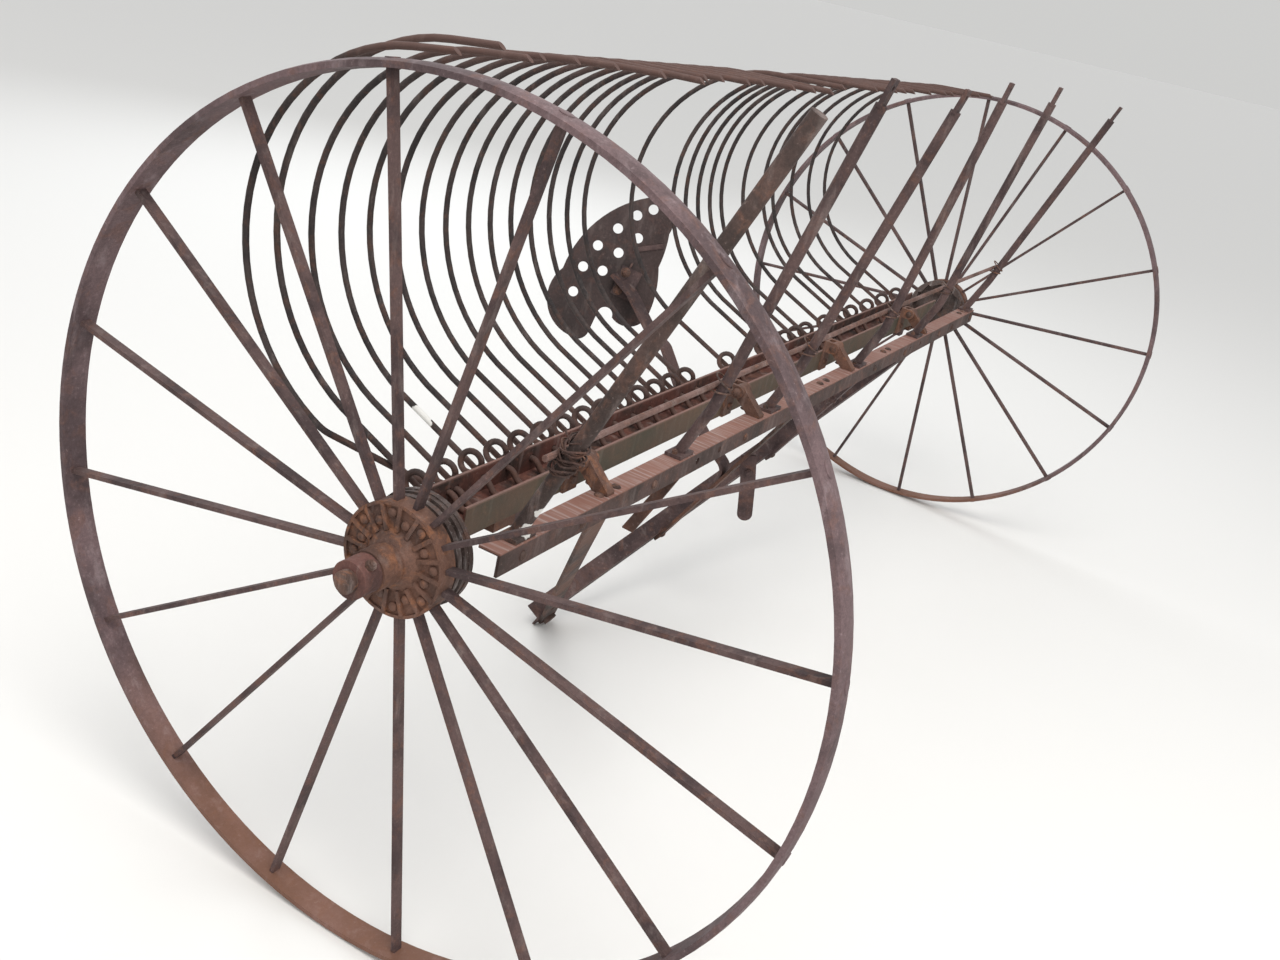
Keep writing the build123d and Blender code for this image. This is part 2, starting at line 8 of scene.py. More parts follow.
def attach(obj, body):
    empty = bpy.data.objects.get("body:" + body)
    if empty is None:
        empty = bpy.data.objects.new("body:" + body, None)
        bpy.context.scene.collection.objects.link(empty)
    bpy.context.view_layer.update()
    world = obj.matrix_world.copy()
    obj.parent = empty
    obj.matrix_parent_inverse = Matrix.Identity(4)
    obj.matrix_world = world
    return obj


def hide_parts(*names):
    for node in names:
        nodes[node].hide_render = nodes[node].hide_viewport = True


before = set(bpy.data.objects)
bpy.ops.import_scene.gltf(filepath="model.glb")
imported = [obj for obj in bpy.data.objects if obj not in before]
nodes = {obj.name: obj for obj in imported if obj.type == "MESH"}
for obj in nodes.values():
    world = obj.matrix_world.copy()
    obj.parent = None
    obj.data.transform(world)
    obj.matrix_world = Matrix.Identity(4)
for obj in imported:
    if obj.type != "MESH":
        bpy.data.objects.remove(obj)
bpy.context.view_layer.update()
random.seed(11)

# All places are in metres. x runs along the axle, the teeth are on its +y side and the front bar on its -y side.
ACROSS = Vector((1, 0, 0))
AXLE_Z = 0.71
BAR_TOP = 0.757
BAR_MID_Y = -0.12
BAR_FRONT_Y = -0.14

PURPLE = (0.098, 0.060, 0.056)
PURPLE_DARK = (0.048, 0.030, 0.030)
BROWN = (0.092, 0.048, 0.036)
BROWN_DARK = (0.040, 0.024, 0.020)
ORANGE = (0.215, 0.088, 0.046)
DUST = (0.330, 0.262, 0.240)
RED = (0.118, 0.042, 0.031)
OLIVE = (0.095, 0.084, 0.056)
CHALK = (0.66, 0.65, 0.62)

METAL_SHARE = 0.12
GLOSS = 0.35
RELIEF = 0.75


def add_node(tree, kind, values, **settings):
    """New shader node; each of its sockets that is named in values gets a value or a link."""
    node = tree.nodes.new("ShaderNode" + kind)
    for key, setting in settings.items():
        setattr(node, key, setting)
    for name, value in values.items():
        if isinstance(value, bpy.types.NodeSocket):
            tree.links.new(value, node.inputs[name])
        else:
            node.inputs[name].default_value = value
    return node


def noise(tree, spot, scale, detail=2.0, rough=0.5, distort=0.0):
    """Cloudy pattern, from 0 to 1."""
    values = {"Vector": spot, "Scale": scale, "Detail": detail, "Roughness": rough, "Distortion": distort}
    return add_node(tree, "TexNoise", values).outputs["Fac"]


def squeeze(tree, spot, scale):
    """Place with its axes scaled, which draws a pattern out into streaks."""
    return add_node(tree, "Mapping", {"Vector": spot, "Scale": scale}).outputs["Vector"]


def fade(tree, value, low, high, full=1.0, none=0.0, kind="LINEAR"):
    """Share that goes from none to full as the value goes from low to high."""
    values = {"Value": value, "From Min": low, "From Max": high, "To Min": none, "To Max": full}
    return add_node(tree, "MapRange", values, interpolation_type=kind).outputs["Result"]


def reckon(tree, kind, *terms):
    """Sum, product or the like of some values."""
    return add_node(tree, "Math", dict(enumerate(terms)), operation=kind).outputs[0]


def coat(tree, share, under, over, kind="MIX"):
    """Colour laid over another one by its share."""
    return add_node(tree, "Mix", {0: share, 6: under, 7: over}, data_type="RGBA", blend_type=kind).outputs[2]


def make_rust_group():
    """Shared rust: colour, roughness and height from layered noise."""
    group = bpy.data.node_groups.new("rust_layers", "ShaderNodeTree")
    sockets = (
        ("INPUT", "Vector", ("Vector",)),
        ("INPUT", "Color", ("Body", "Dark", "Orange", "Pale")),
        ("INPUT", "Float", ("Scale", "Orange Share", "Pale Share")),
        ("OUTPUT", "Color", ("Color",)),
        ("OUTPUT", "Float", ("Roughness", "Height")),
    )
    for way, kind, names in sockets:
        for name in names:
            group.interface.new_socket(name, in_out=way, socket_type="NodeSocket" + kind)
    given = group.nodes.new("NodeGroupInput").outputs
    result = group.nodes.new("NodeGroupOutput").inputs

    def patches(value, low, high):
        return fade(group, value, low, high, kind="SMOOTHSTEP")

    def times(value, share):
        return reckon(group, "MULTIPLY", value, share)

    spread = add_node(group, "VectorMath", {0: given["Vector"], "Scale": given["Scale"]}, operation="SCALE")
    spot = spread.outputs[0]
    broad = noise(group, spot, 7, 7, 0.6, 0.4)
    blotch = noise(group, spot, 26, 8, 0.68, 0.8)
    grain = noise(group, spot, 160, 5, 0.7)
    crust = noise(group, spot, 520, 3, 0.6)
    streak = noise(group, squeeze(group, spot, (1.0, 1.0, 0.14)), 38, 6, 0.6, 0.3)

    colour = coat(group, patches(broad, 0.4, 0.62), given["Body"], given["Dark"])
    colour = coat(group, times(patches(blotch, 0.5, 0.66), given["Orange Share"]), colour, given["Orange"])
    pale = times(patches(streak, 0.52, 0.72), given["Pale Share"])
    speck = times(patches(grain, 0.6, 0.72), given["Pale Share"])
    colour = coat(group, reckon(group, "MAXIMUM", pale, speck), colour, given["Pale"])
    dim = fade(group, reckon(group, "ADD", times(grain, 0.6), times(crust, 0.4)), 0.3, 0.7, full=1.32, none=0.62)
    tint = add_node(group, "CombineColor", {0: dim, 1: dim, 2: dim})
    colour = coat(group, 1.0, colour, tint.outputs[0], "MULTIPLY")

    height = reckon(group, "ADD", times(blotch, 0.5), times(grain, 0.35))
    group.links.new(colour, result["Color"])
    group.links.new(reckon(group, "ADD", times(blotch, 0.3), 0.62), result["Roughness"])
    group.links.new(reckon(group, "ADD", height, times(crust, 0.15)), result["Height"])
    return group


RUST = make_rust_group()


def rust(name, body, dark, orange, pale=DUST, scale=1.0, orange_share=0.5, pale_share=0.25, bump=0.0012, bands=(),
         spots=(), marks=None):
    """Rusted metal.

    A band paints (colour, axis, from, to, share) along an axis, a spot (colour, place, radius).
    Marks are pale lines across a bar: (share, height where they start, height where they are full).
    """
    material = bpy.data.materials.new(name)
    material.use_nodes = True
    tree = material.node_tree
    spot = add_node(tree, "TexCoord", {}).outputs["Object"]
    layers = tree.nodes.new("ShaderNodeGroup")
    layers.node_tree = RUST
    tree.links.new(spot, layers.inputs["Vector"])
    for key, tone in (("Body", body), ("Dark", dark), ("Orange", orange), ("Pale", pale)):
        layers.inputs[key].default_value = (*tone, 1)
    for key, amount in (("Scale", scale), ("Orange Share", orange_share), ("Pale Share", pale_share)):
        layers.inputs[key].default_value = amount
    colour = layers.outputs["Color"]
    level = add_node(tree, "SeparateXYZ", {0: spot}).outputs if bands or marks else None
    ragged = noise(tree, spot, 24, 6) if bands else None

    for tone, axis, low, high, share in bands:
        edge = reckon(tree, "MULTIPLY_ADD", ragged, 0.5 * abs(high - low), level[axis])
        colour = coat(tree, fade(tree, edge, low, high, share, kind="SMOOTHSTEP"), colour, (*tone, 1))
    if marks:
        share, low, high = marks
        scratch = noise(tree, squeeze(tree, spot, (1.0, 0.06, 0.06)), 130, 4)
        mask = reckon(tree, "MULTIPLY", fade(tree, scratch, 0.48, 0.66, share), fade(tree, level["Z"], low, high))
        colour = coat(tree, mask, colour, (*pale, 1))
    for tone, centre, radius in spots:
        away = add_node(tree, "VectorMath", {0: spot, 1: centre}, operation="DISTANCE").outputs["Value"]
        edge = reckon(tree, "MULTIPLY_ADD", noise(tree, spot, 90), radius, away)
        colour = coat(tree, fade(tree, edge, radius * 1.5, radius * 1.4), colour, (*tone, 1))

    relief = add_node(tree, "Bump", {"Strength": RELIEF, "Distance": bump, "Height": layers.outputs["Height"]})
    shader = tree.nodes["Principled BSDF"]
    shader.inputs["Metallic"].default_value = METAL_SHARE
    shader.inputs["Specular IOR Level"].default_value = GLOSS
    tree.links.new(colour, shader.inputs["Base Color"])
    tree.links.new(layers.outputs["Roughness"], shader.inputs["Roughness"])
    tree.links.new(relief.outputs["Normal"], shader.inputs["Normal"])
    return material


TOOTH = rust("tooth wire", (0.046, 0.034, 0.032), (0.024, 0.019, 0.019), (0.10, 0.047, 0.032),
             scale=1.4, pale_share=0.16, bump=0.0006,
             bands=(((0.118, 0.062, 0.050), "Z", 1.37, 1.44, 0.6), ((0.12, 0.056, 0.040), "Z", 0.86, 0.74, 0.8)),
             spots=((CHALK, (-1.2045, 0.192, 0.805), 0.024), (CHALK, (-1.2045, 0.176, 0.797), 0.012)))
RIM = rust("wheel rim", (0.138, 0.091, 0.094), (0.074, 0.049, 0.051), (0.17, 0.082, 0.058), (0.36, 0.29, 0.30),
           orange_share=0.35, pale_share=0.26, bands=(((0.225, 0.100, 0.052), "Z", 0.42, 0.10, 0.55),))
SPOKE = rust("flat spokes", PURPLE, PURPLE_DARK, (0.16, 0.074, 0.05),
             scale=1.3, orange_share=0.45, pale_share=0.2, bump=0.0008)
HUB = rust("cast hub", (0.142, 0.070, 0.048), (0.076, 0.040, 0.030), (0.26, 0.108, 0.052),
           scale=1.2, orange_share=0.6, pale_share=0.16, bump=0.0018)
COLLAR = rust("axle collar", (0.125, 0.056, 0.047), (0.065, 0.032, 0.028), (0.17, 0.072, 0.048),
              scale=1.3, orange_share=0.4, pale_share=0.2)
DRUM = rust("ratchet drum", (0.088, 0.066, 0.060), BROWN_DARK, (0.16, 0.076, 0.050), (0.42, 0.38, 0.37),
            scale=1.4, orange_share=0.45, pale_share=0.4)
ROD = rust("cleaner rod", PURPLE, PURPLE_DARK, (0.15, 0.072, 0.050), orange_share=0.4, bump=0.0009)
DUSTY_ROD = rust("dusty rod", (0.098, 0.061, 0.052), (0.050, 0.034, 0.030), (0.16, 0.080, 0.056),
                 orange_share=0.6, pale_share=0.3, bump=0.0026,
                 spots=((CHALK, (-1.355, -0.150, 0.812), 0.011), (CHALK, (-1.355, -0.136, 0.778), 0.014),
                        (CHALK, (-1.350, -0.128, 0.764), 0.012)))
TIE = rust("tie rod", (0.165, 0.098, 0.084), BROWN, (0.22, 0.105, 0.07),
           scale=1.2, orange_share=0.6, pale_share=0.35, bump=0.0007)
# The second band, lighter on the channel's top face, is mostly a painted highlight of the sky on that face and partly
# dust.
CHANNEL = rust("tooth channel", RED, BROWN_DARK, (0.19, 0.078, 0.052),
               orange_share=0.6, pale_share=0.35, bump=0.0011,
               bands=((OLIVE, "Y", -0.0465, -0.0495, 0.62), ((0.20, 0.115, 0.095), "Z", 0.7835, 0.7868, 0.6)))
# The band, lighter on the front bar's top face, is mostly a painted highlight of the sky on that face and partly dust;
# the pale marks there are scratches.
BAR = rust("front bar", (0.078, 0.046, 0.040), BROWN_DARK, (0.15, 0.070, 0.050),
           scale=0.9, orange_share=0.4, pale_share=0.2, bump=0.0011,
           bands=(((0.265, 0.126, 0.095), "Z", 0.7535, 0.7568, 0.75),), marks=(0.7, 0.7553, 0.7566))
NEAR_HOUND = rust("near hound", (0.110, 0.052, 0.036), BROWN_DARK, (0.175, 0.078, 0.048), scale=0.9, pale_share=0.18)
FAR_HOUND = rust("far hound", PURPLE, PURPLE_DARK, (0.16, 0.075, 0.052), scale=0.9, orange_share=0.4, pale_share=0.22)
SEAT = rust("seat pan", (0.052, 0.034, 0.032), (0.032, 0.022, 0.021), (0.10, 0.050, 0.040),
            orange_share=0.4, pale_share=0.12, bump=0.0006)
FITTING = rust("small fittings", (0.115, 0.062, 0.046), BROWN_DARK, ORANGE,
               scale=1.5, orange_share=0.7, pale_share=0.3, bump=0.0007)
WRAP = rust("binding wire", (0.085, 0.047, 0.038), BROWN_DARK, (0.16, 0.072, 0.045),
            scale=1.5, pale_share=0.2, bump=0.0005)

NODE_LOOKS = (
    (RIM, ("rim_left", "rim_right")),
    (SPOKE, ("spokes_left", "spokes_right", "axle_left", "axle_right")),
    (HUB, ("hub_left", "hub_right", "saddle_left", "saddle_right", "hinge_lugs", "hinge_straps")),
    (DRUM, ("drum_left", "drum_right")),
    (COLLAR, ("collar_left", "collar_right")),
    (CHANNEL, ("tooth_channel",)),
    (BAR, ("front_bar",)),
    (NEAR_HOUND, ("near_hound", "centre_brace")),
    (FAR_HOUND, ("far_hound", "long_strut")),
    (FITTING, ("apex_bolt",)),
    (DUSTY_ROD, ("cleaner_rod_1",)),
    (ROD, ("cleaner_rod_2", "cleaner_rod_3", "cleaner_rod_4", "cleaner_rod_5", "cleaner_rod_6", "seat_spring")),
    (TIE, ("tie_rod",)),
)
for look, node_names in NODE_LOOKS:
    for node_name in node_names:
        for material_slot in nodes[node_name].material_slots:
            material_slot.link = "OBJECT"
            material_slot.material = look

# Easing of the edges of straps and discs, distance at which doubles merge, and the washers under bolts
STRAP_EASE = 0.0011
DISC_EASE = 0.0012
MERGE = 0.00001
WASHER_TOP = 0.0016
WASHER_THICK = 0.0018


def only(piece):
    """Select one piece alone."""
    bpy.ops.object.select_all(action="DESELECT")
    piece.select_set(True)
    bpy.context.view_layer.objects.active = piece


def begin(primitive, **settings):
    """Add a primitive with nothing else selected."""
    bpy.ops.object.select_all(action="DESELECT")
    primitive(**settings)
    return bpy.context.active_object


def settle():
    """Put the place of the selected piece into its mesh."""
    bpy.ops.object.transform_apply(location=True, rotation=True, scale=True)


def select_mesh():
    """Select all of the active piece's mesh in edit mode."""
    bpy.ops.object.mode_set(mode="EDIT")
    bpy.ops.mesh.select_all(action="SELECT")


def face_outwards(piece, merge=False):
    """Turn a piece's faces outwards, after its doubles are merged."""
    only(piece)
    select_mesh()
    if merge:
        bpy.ops.mesh.remove_doubles(threshold=MERGE)
    bpy.ops.mesh.normals_make_consistent(inside=False)
    bpy.ops.object.mode_set(mode="OBJECT")


def pick(piece, wanted):
    """In edit mode, select only the points for which wanted(point) is true."""
    bpy.ops.mesh.select_all(action="DESELECT")
    bpy.ops.mesh.select_mode(type="VERT")
    bpy.ops.object.mode_set(mode="OBJECT")
    for point in piece.data.vertices:
        point.select = wanted(piece.matrix_world @ point.co)
    bpy.ops.object.mode_set(mode="EDIT")


def press(piece, kind, **settings):
    """Add a modifier to a piece and apply it."""
    only(piece)
    change = piece.modifiers.new(kind.lower(), kind)
    for key, value in settings.items():
        setattr(change, key, value)
    bpy.ops.object.modifier_apply(modifier=change.name)


def copy_of(model):
    """Copy of a part with its own mesh."""
    twin = model.copy()
    twin.data = model.data.copy()
    bpy.context.scene.collection.objects.link(twin)
    return twin


def weld(parts):
    """Join parts to one piece that sits at the origin."""
    bpy.ops.object.select_all(action="DESELECT")
    for part in parts:
        part.select_set(True)
    bpy.context.view_layer.objects.active = parts[0]
    if len(parts) > 1:
        bpy.ops.object.join()
    settle()
    return bpy.context.active_object


def dress(piece, name, body, look, sharp=38):
    """Name, smooth and paint a finished piece, and let it ride on its body."""
    only(piece)
    bpy.ops.object.shade_smooth_by_angle(angle=radians(sharp))
    piece.name = name
    piece.data.name = name
    piece.data.materials.clear()
    piece.data.materials.append(look)
    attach(piece, body)
    return piece


def rounded(points, radius, steps=4):
    """Path with its inner corners rounded off."""
    points = [Vector(point) for point in points]
    path = [points[0]]
    for before, corner, after in zip(points, points[1:], points[2:]):
        back = (before - corner).normalized()
        on = (after - corner).normalized()
        cut = min(radius, (before - corner).length / 2.2, (after - corner).length / 2.2)
        one = corner + back * cut
        two = corner + on * cut
        for step in range(steps + 1):
            share = step / steps
            path.append(one * (1 - share) ** 2 + corner * 2 * share * (1 - share) + two * share ** 2)
    path.append(points[-1])
    return path


def wire(path, thickness, ring_points=12, closed=False):
    """Round wire bent along a path; thickness is its radius."""
    line = begin(bpy.ops.curve.primitive_nurbs_path_add)
    line.data.splines.clear()
    run = line.data.splines.new("POLY")
    run.points.add(len(path) - 1)
    for place, point in enumerate(path):
        run.points[place].co = (*point, 1)
    run.use_cyclic_u = closed
    line.data.bevel_depth = thickness
    line.data.bevel_resolution = (ring_points - 4) // 2
    line.data.use_fill_caps = not closed
    bpy.ops.object.convert(target="MESH")
    made = bpy.context.active_object
    face_outwards(made, merge=True)
    return made


def flat_strap(path, width, thick, wide):
    """Flat bar bent along a path: an edge drawn on from point to point, then made thick."""
    path = [Vector(point) for point in path]
    along = (path[1] - path[0]).normalized()
    wide = Vector(wide)
    wide = (wide - along * wide.dot(along)).normalized()
    turn = Matrix((wide, along, wide.cross(along))).transposed()
    made = begin(bpy.ops.mesh.primitive_plane_add, size=width, location=path[0], rotation=turn.to_euler())
    bpy.ops.object.mode_set(mode="EDIT")
    pick(made, lambda point: (point - path[0]).dot(along) < 0)
    bpy.ops.transform.translate(value=along * width / 2)
    pick(made, lambda point: (point - path[0]).dot(along) > width / 4)
    bpy.ops.transform.translate(value=path[1] - path[0] - along * width / 2)
    for before, after in zip(path[1:], path[2:]):
        bpy.ops.mesh.extrude_region_move(TRANSFORM_OT_translate={"value": after - before})
    bpy.ops.object.mode_set(mode="OBJECT")
    settle()
    press(made, "SOLIDIFY", thickness=thick, offset=0.0, use_even_offset=True)
    press(made, "BEVEL", width=STRAP_EASE, segments=2, limit_method="ANGLE")
    return made


def round_disc(radius, thick, points=32):
    """Disc with eased rims that stands on the origin."""
    disc = begin(bpy.ops.mesh.primitive_cylinder_add, vertices=points, radius=radius, depth=thick,
                 location=(0, 0, thick / 2))
    settle()
    press(disc, "BEVEL", width=min(DISC_EASE, thick / 4), segments=2, limit_method="ANGLE")
    return disc


def rivet_head(radius, height):
    """Low dome: a ball cut off below its middle and pressed flat."""
    dome = begin(bpy.ops.mesh.primitive_uv_sphere_add, segments=16, ring_count=10, radius=radius)
    select_mesh()
    bpy.ops.mesh.bisect(plane_co=(0, 0, -radius * 0.2), plane_no=(0, 0, 1), use_fill=True, clear_inner=True)
    bpy.ops.mesh.select_all(action="SELECT")
    bpy.ops.transform.resize(value=(1, 1, height / radius), center_override=(0, 0, 0))
    bpy.ops.object.mode_set(mode="OBJECT")
    return dome


def hex_bolt(radius, height, washer=0.0, tail=0.0):
    """Hexagon head or nut with chamfered corners, on a washer of that radius, with a thread end above it."""
    low = WASHER_TOP if washer else 0.0
    bolt = begin(bpy.ops.mesh.primitive_cylinder_add, vertices=6, radius=radius, depth=height + 0.001,
                 location=(0, 0, low + height / 2))
    settle()
    bpy.ops.object.mode_set(mode="EDIT")
    pick(bolt, lambda point: point.z > low + height * 0.5)
    bpy.ops.mesh.bevel(offset=radius * 0.13, segments=1, affect="EDGES")
    bpy.ops.object.mode_set(mode="OBJECT")
    parts = [bolt]
    if washer:
        parts.append(round_disc(washer, WASHER_THICK, 20))
    if tail:
        parts.append(round_disc(radius * 0.55, height + tail + low, 14))
    return weld(parts)


# Small parts that are modelled once and copied; they are removed at the end
MODELS = {
    "spoke rivet": round_disc(0.0120, 0.0080, 24),
    "cast bump": rivet_head(0.0084, 0.0060),
    "collar bolt": hex_bolt(0.0085, 0.008, tail=0.003),
    "axle end": round_disc(0.0178, 0.0132),
    "bar rivet": rivet_head(0.0092, 0.0052),
    "strap rivet": rivet_head(0.007, 0.003),
    "bar nut": hex_bolt(0.0095, 0.008, tail=0.005),
    "foot nut": hex_bolt(0.0058, 0.006, tail=0.003),
    "hound nut": hex_bolt(0.011, 0.009, washer=0.014, tail=0.005),
    "lug nut": hex_bolt(0.0075, 0.006),
    "lug end": round_disc(0.020, 0.008),
    "seat nut": hex_bolt(0.010, 0.008, washer=0.013, tail=0.004),
}


def set_at(name, spot, axis=(0, 0, 1), spin=0.0, stretch=(1, 1, 1)):
    """Copy of a small part, with its top turned to the axis."""
    twin = copy_of(MODELS[name])
    turn = Vector(axis).to_track_quat("Z", "Y").to_matrix().to_4x4()
    twin.matrix_world = Matrix.Translation(spot) @ turn @ Matrix.Rotation(spin, 4, "Z") @ Matrix.Diagonal((*stretch, 1))
    return twin


# Spring teeth. The strand is the bow's place along x; the coil, the bow and the tip are given beside the axle.
TOOTH_RADIUS = 0.0055
STRAND_START = -1.3505
PITCH = 0.073
HOOK_Y = (-0.025, 0.004)
HOOK_Z = 0.7453
HOLE_Y = (0.020, 0.048)
HOLE_Z = AXLE_Z + 0.055
COIL_SHIFT = 0.033
COIL_SPREAD = 0.026
COIL_STEPS = 20
COIL_RADIUS = 0.0165
COIL_Y = 0.070
COIL_Z = AXLE_Z + 0.066
BOW_Y = 0.105
BOW_Z = AXLE_Z + 0.403
BOW_RADIUS = 0.311
BOW_START = radians(-69)
BOW_STEPS = 30
TIP_Z = AXLE_Z + 0.723
TIP_CUT = 0.0125
TIP_SLOPE = 2.2
CRANKED_HOOK = -1.3305
CRANKED_STRAND = -1.4235
CRANKED_TIP = 0.060
CRANK = (0.092, AXLE_Z + 0.052)
HOOK_BEND = 0.010
CRANK_BEND = 0.030
# Most of the teeth far from the camera are alike and end at the same place
FAR_TIP = -45
TEETH = [
    # slot, shift of the bow along x, y and z, tip y, all in millimetres
    (0, -30, -21, 17, 20), (1, 0, 0, 0, 40), (2, 0, 0, 0, 66), (3, 0, 0, 0, 49), (4, 0, 0, 0, 20),
    (5, 0, 0, 0, -26), (6, 0, 0, 0, -61), (7, 0, 0, 0, -31), (8, 0, 0, 0, -28), (9, 0, 0, 0, -46),
    (10, 0, 0, 0, -44), (11, 0, 0, 0, -77), (12, 0, 0, 0, -90), (13, 0, 0, 0, -100),
]
TEETH += [(slot, 0, 0, 0, FAR_TIP) for slot in (16, 19, 20, 21, 22, 23, 25, 27, 28, 30, 32, 34)]


def bow_path(strand, back, up, tip_y):
    """Bow of a tooth from its coil to the straight tip."""
    centre = (BOW_Y + back, BOW_Z + up)
    tip = (tip_y, TIP_Z + up)
    reach = hypot(tip[0] - centre[0], tip[1] - centre[1])
    end = atan2(tip[1] - centre[1], tip[0] - centre[0]) - acos(BOW_RADIUS / reach)
    path = []
    for step in range(BOW_STEPS + 1):
        angle = BOW_START + (end - BOW_START) * step / BOW_STEPS
        path.append((strand, centre[0] + BOW_RADIUS * cos(angle), centre[1] + BOW_RADIUS * sin(angle)))
    path.append((strand, *tip))
    return path


def coil_path(hook_x):
    """One open turn from the hole in the channel to the bow."""
    path = []
    for step in range(COIL_STEPS + 1):
        turn = -pi / 2 + 2 * pi * step / COIL_STEPS
        across = hook_x + COIL_SHIFT - COIL_SPREAD * (1 - step / COIL_STEPS)
        path.append((across, COIL_Y + COIL_RADIUS * cos(turn), COIL_Z + COIL_RADIUS * sin(turn)))
    return path


def bend_tooth(hook_x, strand, back, up, tip_y, coiled=True):
    """Round spring wire: hook in the channel, open coil or crank, bow and slanted cut tip."""
    hook = [(hook_x, HOOK_Y[0], HOOK_Z), (hook_x, HOOK_Y[1], HOOK_Z), (hook_x, HOLE_Y[0], HOLE_Z)]
    bow = bow_path(strand, back, up, tip_y)
    if coiled:
        hook.append((hook_x, HOLE_Y[1], HOLE_Z - 0.001))
        path = rounded(hook, HOOK_BEND) + coil_path(hook_x) + bow
    else:
        hook += [(hook_x, *CRANK), bow[0], bow[1]]
        path = rounded(hook, CRANK_BEND)[:-1] + bow[1:]
    made = wire(path, TOOTH_RADIUS)
    tip = Vector(path[-1])
    along = (tip - Vector(path[-2])).normalized()
    upward = ACROSS.cross(along)
    if upward.z < 0:
        upward.negate()
    select_mesh()
    bpy.ops.mesh.bisect(plane_co=tip - along * TIP_CUT, plane_no=along + upward * TIP_SLOPE, use_fill=True,
                        clear_outer=True)
    bpy.ops.object.mode_set(mode="OBJECT")
    return made


def hang_tooth(piece, name):
    """Dress a tooth and let it take the place of the solid one."""
    dress(piece, name, "head", TOOTH, 50)
    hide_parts("teeth")


def hang_teeth():
    """The row of teeth, from the cranked one at the near end; the far ones are copies of the first of them."""
    hang_tooth(bend_tooth(CRANKED_HOOK, CRANKED_STRAND, 0, 0, CRANKED_TIP, coiled=False), "tooth_cranked")
    far_tooth, far_strand = None, 0.0
    for number, aside, back, up, tip_y in TEETH:
        strand = STRAND_START + number * PITCH
        if tip_y == FAR_TIP and far_tooth:
            tooth = copy_of(far_tooth)
            tooth.location.x = strand - far_strand
            only(tooth)
            settle()
        else:
            tooth = bend_tooth(strand - COIL_SHIFT, strand + aside / 1000, back / 1000, up / 1000, tip_y / 1000)
            if tip_y == FAR_TIP:
                far_tooth, far_strand = tooth, strand
        hang_tooth(tooth, "tooth_%02d" % number)


# Wheels: side along x, angle of the first spoke in degrees, and the way that the collar's bolt points
WHEELS = {"left": (-1, 10.2, (0, -0.6, 0.8)), "right": (1, 27.1, (0, 0.5, 0.86))}
SPOKES = 16
WHEEL_X = 1.489
RIM_RIVET_OUT = 0.7030
RIM_RIVET_STRETCH = (0.68, 1, 1)
HUB_FACE_X = 1.492
# The bumps stand alternately on two rings round the hub
BUMPS_OUT = (0.075, 0.063)
COLLAR_X = 1.5715
COLLAR_BOLT_OUT = 0.030
AXLE_END_X = 1.5899


def fit_wheel(side_name):
    """Rivets of the rim, cast bumps of the hub, bolts of the collar and the end of the axle."""
    side, first_spoke, bolt_way = WHEELS[side_name]
    body = "wheel_" + side_name
    rivets = []
    bumps = []
    for number in range(SPOKES):
        angle = radians(first_spoke + number * 360 / SPOKES)
        out = Vector((0, sin(angle), cos(angle)))
        rim_spot = Vector((side * WHEEL_X, 0, AXLE_Z)) + out * RIM_RIVET_OUT
        hub_spot = Vector((side * HUB_FACE_X, 0, AXLE_Z)) + out * BUMPS_OUT[number % 2]
        rivets.append(set_at("spoke rivet", rim_spot, out, 0.0, RIM_RIVET_STRETCH))
        bumps.append(set_at("cast bump", hub_spot, (side, 0, 0)))
    dress(weld(rivets), "rim_rivets_" + side_name, body, RIM)
    dress(weld(bumps), "hub_rivets_" + side_name, body, HUB)

    ends = []
    for way in (-1, 1):
        out = Vector(bolt_way) * way
        spot = (side * COLLAR_X, out.y * COLLAR_BOLT_OUT, AXLE_Z + out.z * COLLAR_BOLT_OUT)
        ends.append(set_at("collar bolt", spot, out, 0.2))
    ends.append(set_at("axle end", (side * AXLE_END_X, 0, AXLE_Z), (side, 0, 0)))
    dress(weld(ends), "collar_bolt_" + side_name, "head", FITTING)


# The two hound bars slope down from the front bar to the ground
HOUND_TOP_Y = -0.106
HOUND_TOP_Z = 0.720
HOUND_RUN = 0.436
HOUND_SIN = HOUND_TOP_Z / hypot(HOUND_RUN, HOUND_TOP_Z)
HOUND_COS = HOUND_RUN / hypot(HOUND_RUN, HOUND_TOP_Z)
HOUND_OUT = Vector((0, HOUND_SIN, HOUND_COS))
# Bolts through the hounds: place along x and way down the slope
HOUND_BOLTS = ((0.020, 0.62415), (0.440, 0.42127))
HINGES = (-1.090, -0.440, 0.150, 0.800)
BAR_BOLTS = (
    # x, places of the two heads beside it, and how much of that the nuts below have
    (-1.080, (-0.027, 0.031), 1.0), (-0.030, (-0.021, 0.021), 0.5), (0.456, (-0.021, 0.021), 0.5),
    (1.250, (-0.021, 0.021), 0.5),
)
BAR_BOLT_Y = -0.122
BAR_NUT_Y = -0.117
BAR_NUT_Z = 0.744
FACE_RIVETS = (-1.36, -1.18, -0.93, -0.52, -0.20, 0.33, 0.60, 0.95, 1.10, 1.32)
FACE_RIVET_Z = 0.736
FACE_RIVET_STRAY = 0.003
FOOT_BOLT = 0.021
FOOT_TOP = BAR_TOP + 0.007
STRAP_RIVET_Y = -0.090
STRAP_TOP = BAR_TOP + 0.006
PIN_HEAD_OUT = 0.0223
PIN_Y = -0.075
PIN_Z = 0.800
LUG_NUT_Y = -0.056
LUG_NUT_Z = 0.757
RODS = (
    # x, tip y, tip height, radius, flat length
    (-1.355, -0.423, 0.761, 0.0125, 0), (-0.803, -0.321, 0.801, 0.011, 0.05), (-0.365, -0.329, 0.794, 0.011, 0.05),
    (0.219, -0.278, 0.806, 0.011, 0.05), (0.730, -0.291, 0.809, 0.011, 0.05), (1.314, -0.365, 0.782, 0.011, 0.05),
)


